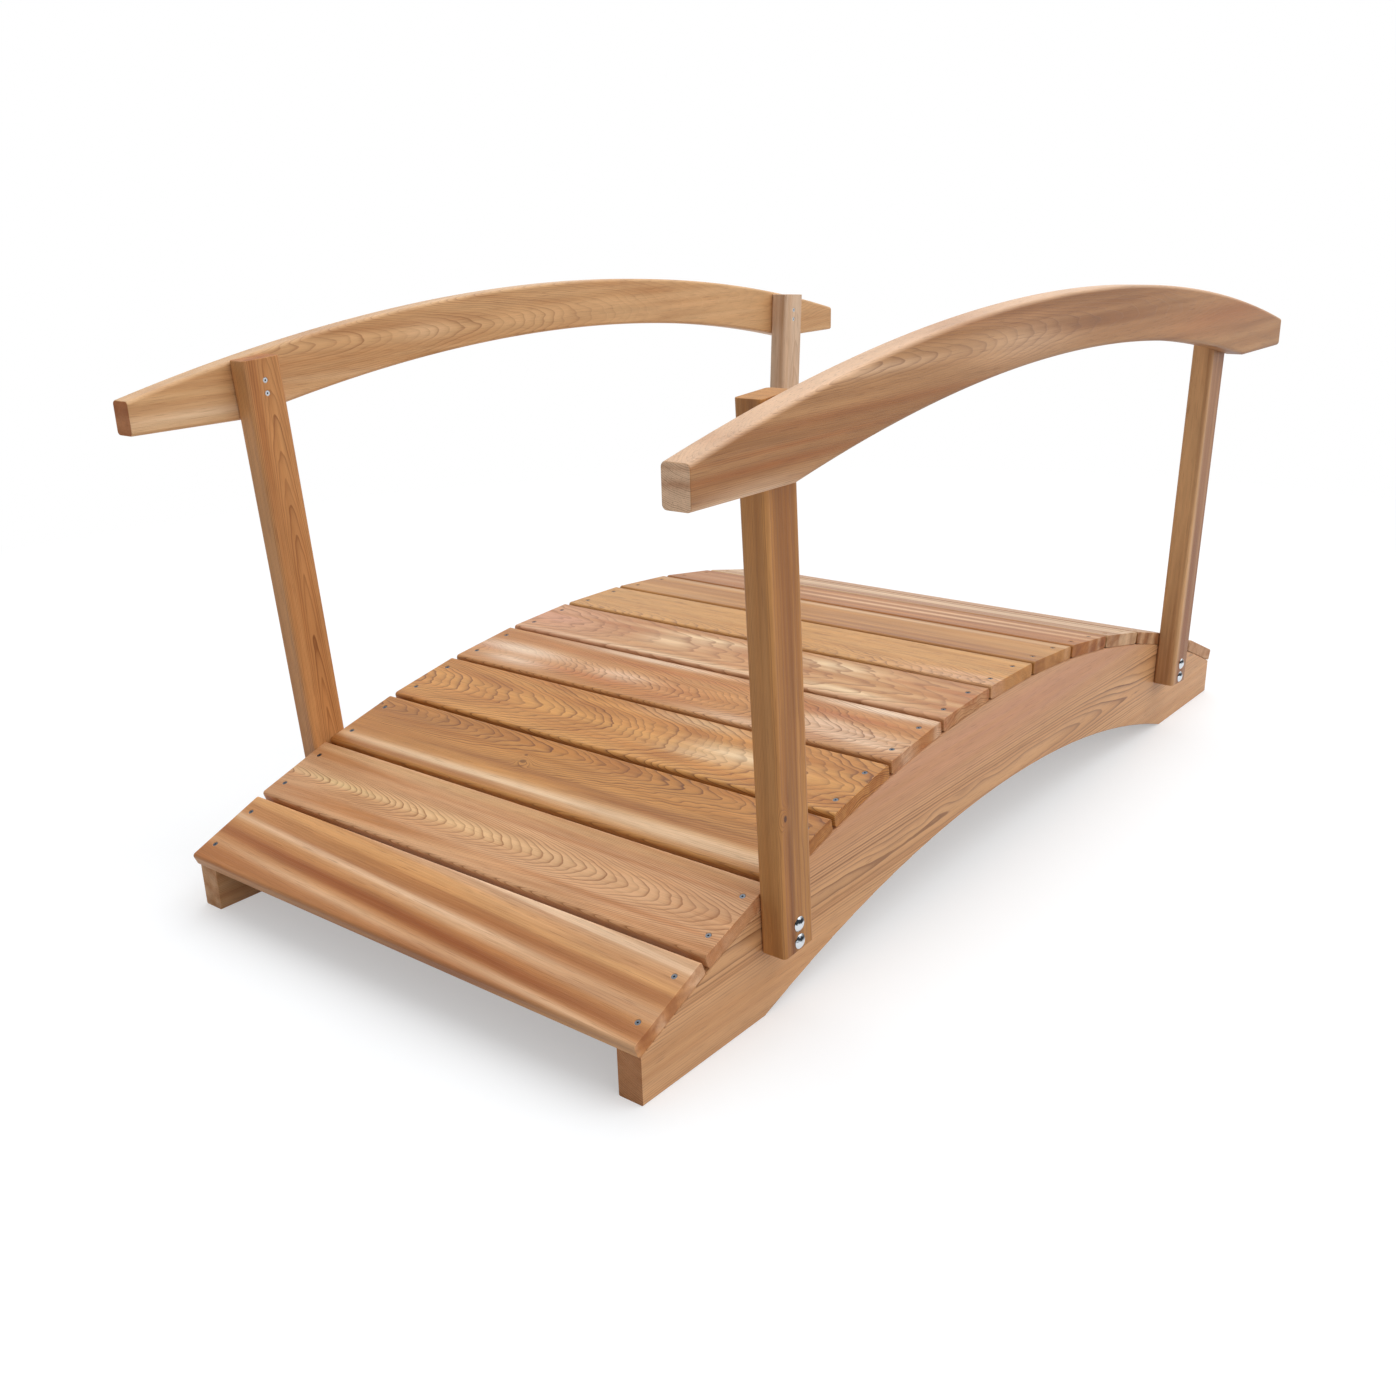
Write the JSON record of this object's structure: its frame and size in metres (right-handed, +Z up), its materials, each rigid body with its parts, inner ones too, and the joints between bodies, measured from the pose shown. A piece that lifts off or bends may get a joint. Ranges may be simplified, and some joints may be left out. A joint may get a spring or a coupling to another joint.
{
  "type": "wooden garden bridge",
  "caption": "Arched garden footbridge with a plank deck on two arched side beams and two arched handrails on raking posts bolted to the beams.",
  "frame": {"origin": "on the ground under the middle of the bridge", "axes": "+X along the span towards the far end, +Y across the deck towards the left handrail, +Z up"},
  "size_m": [1.85, 1.041, 0.8647],
  "materials": {
    "deck_cedar": "clear satin cedar",
    "stringer_cedar": "clear satin cedar",
    "post_cedar": "clear satin cedar",
    "rail_cedar": "clear satin cedar",
    "zinc_bolt": "bright zinc plate",
    "zinc_nut": "bright zinc plate"
  },
  "bodies": {
    "root": {"stringer_left": "stringer_cedar", "stringer_right": "stringer_cedar", "plank_01": "deck_cedar", "plank_02": "deck_cedar", "plank_03": "deck_cedar", "plank_04": "deck_cedar", "plank_05": "deck_cedar", "plank_06": "deck_cedar", "plank_07": "deck_cedar", "plank_08": "deck_cedar", "plank_09": "deck_cedar", "plank_10": "deck_cedar", "plank_11": "deck_cedar", "plank_12": "deck_cedar", "plank_13": "deck_cedar", "post_near_left": "post_cedar", "post_near_right": "post_cedar", "post_far_left": "post_cedar", "post_far_right": "post_cedar", "handrail_left": "rail_cedar", "handrail_right": "rail_cedar", "carriage_bolts_near_left": "zinc_bolt", "bolt_nuts_near_left": "zinc_nut", "carriage_bolts_near_right": "zinc_bolt", "bolt_nuts_near_right": "zinc_nut", "carriage_bolts_far_left": "zinc_bolt", "bolt_nuts_far_left": "zinc_nut", "carriage_bolts_far_right": "zinc_bolt", "bolt_nuts_far_right": "zinc_nut"}
  },
  "joints": []
}
